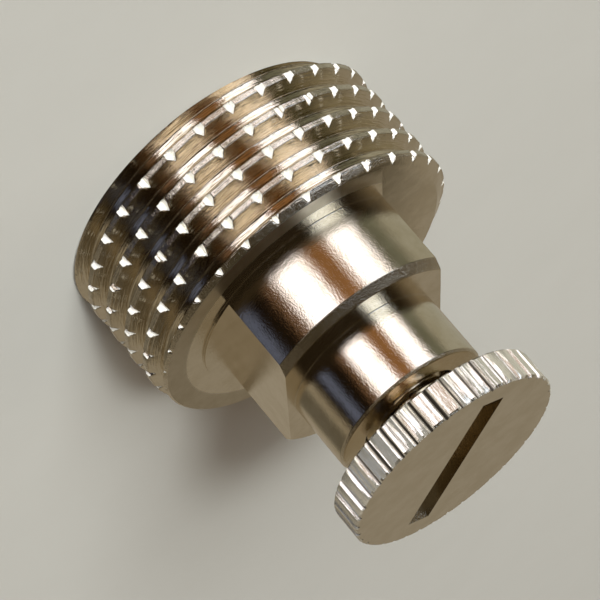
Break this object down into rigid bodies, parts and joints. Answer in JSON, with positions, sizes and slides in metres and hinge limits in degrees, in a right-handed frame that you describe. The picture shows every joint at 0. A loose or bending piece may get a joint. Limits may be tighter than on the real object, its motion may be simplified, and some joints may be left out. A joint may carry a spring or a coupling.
{
  "type": "bleed screw",
  "caption": "Turned vent plug with a notched pipe thread, a flatted boss and a knurled, slotted bleed screw that lifts off its seat as it is unscrewed.",
  "frame": {"origin": "centre of the threaded end's rim, on the surface that the part stands on", "axes": "+Z along the common axis, from the threaded end to the slotted head; the first wrench flat faces 15 degrees from +X towards -Y"},
  "size_m": [0.021, 0.021, 0.0228],
  "materials": {
    "plug": "bright nickel plating over turned brass",
    "screw": "bright nickel plating over turned and knurled brass",
    "seal": "matt black rubber"
  },
  "bodies": {
    "plug": {"plug_body": "plug"},
    "seal": {"seal_pad": "seal"},
    "screw": {"bleed_screw": "screw"}
  },
  "joints": [
    {"name": "screw_lift", "type": "slide", "parent": "plug", "child": "seal", "axis": [0, 0, 1], "range_m": [0, 0.00151]},
    {"name": "screw_turn", "type": "hinge", "parent": "seal", "child": "screw", "pos_m": [0, 0, 0.0188], "axis": [0, 0, 1], "range_deg": [0, 540]}
  ],
  "couplings": [
    {"joint": "screw_lift", "follows": "screw_turn", "m_per_rad": 0.00015915}
  ]
}
